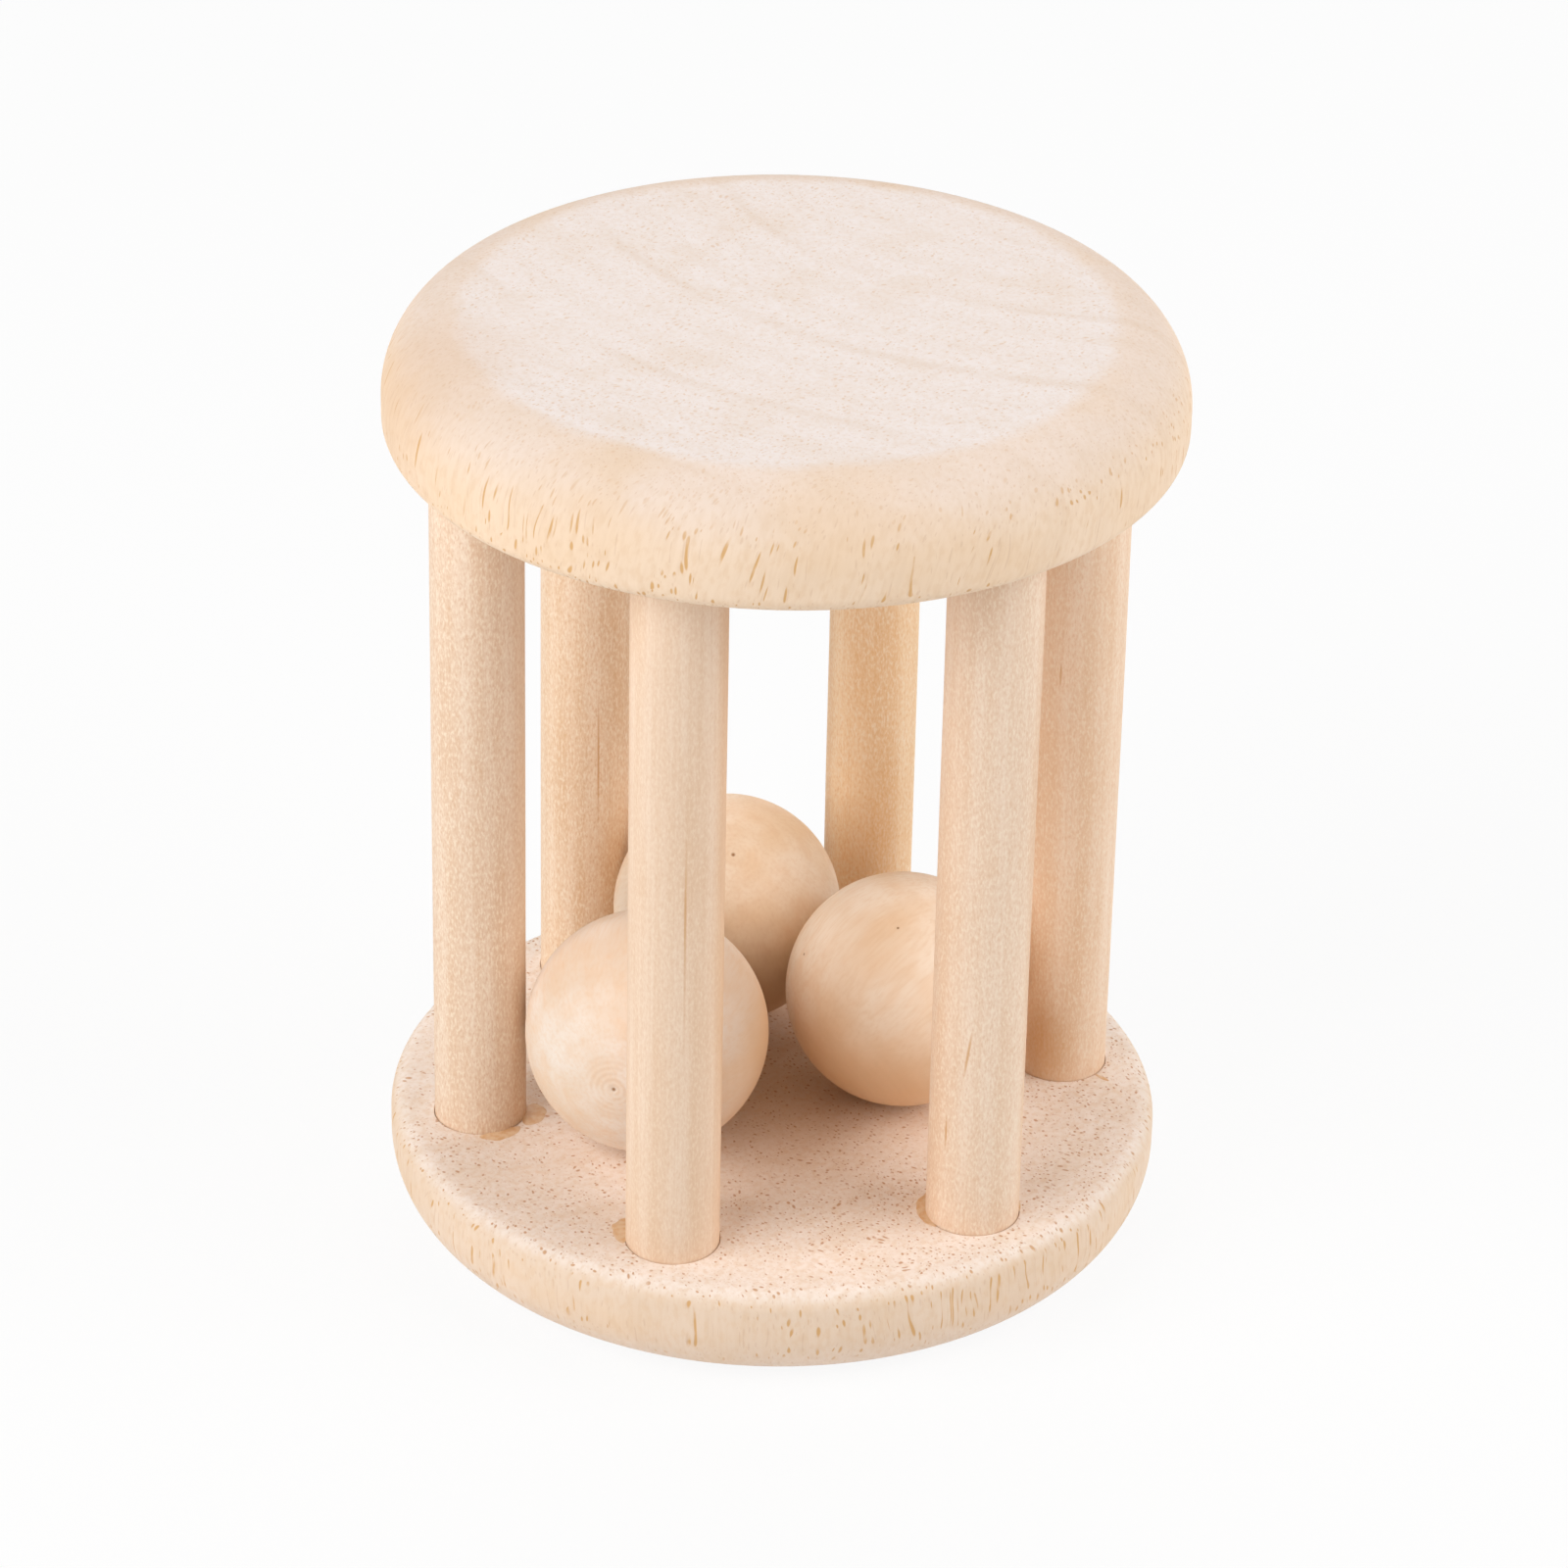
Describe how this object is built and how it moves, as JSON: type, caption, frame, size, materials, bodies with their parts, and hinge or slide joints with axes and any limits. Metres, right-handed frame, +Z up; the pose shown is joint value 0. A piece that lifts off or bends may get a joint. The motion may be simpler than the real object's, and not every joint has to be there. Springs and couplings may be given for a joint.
{
  "type": "cage rattle",
  "caption": "Plain wooden cage rattle: round end discs joined by a ring of glued dowels, with loose balls trapped inside that knock when it is shaken.",
  "frame": {"origin": "middle of the flat outer face of the bottom disc, the face that the rattle stands on", "axes": "+Z up along the cage's axis, +X through the right dowel, -Y towards the front gap between two dowels"},
  "size_m": [0.08, 0.08, 0.101],
  "materials": {
    "disc_wood": "bare pale hardwood, turned and sanded, end grain on the flat faces",
    "dowel_wood": "bare pale hardwood rod, sanded along the grain",
    "ball_wood": "bare pale hardwood, turned and tumbled smooth"
  },
  "bodies": {
    "cage": {"bottom_disc": "disc_wood", "top_disc": "disc_wood", "right_dowel": "dowel_wood", "back_right_dowel": "dowel_wood", "back_left_dowel": "dowel_wood", "left_dowel": "dowel_wood", "front_left_dowel": "dowel_wood", "front_right_dowel": "dowel_wood"},
    "left_ball": {"left_ball": "ball_wood"},
    "right_ball": {"right_ball": "ball_wood"},
    "back_ball": {"back_ball": "ball_wood"}
  },
  "joints": [
    {"name": "left_ball_travel", "type": "slide", "parent": "cage", "child": "left_ball", "axis": [0, 0, 1], "range_m": [0, 0.0518]},
    {"name": "right_ball_travel", "type": "slide", "parent": "cage", "child": "right_ball", "axis": [0, 0, 1], "range_m": [0, 0.0524]},
    {"name": "back_ball_travel", "type": "slide", "parent": "cage", "child": "back_ball", "axis": [0, 0, 1], "range_m": [0, 0.0527]}
  ]
}
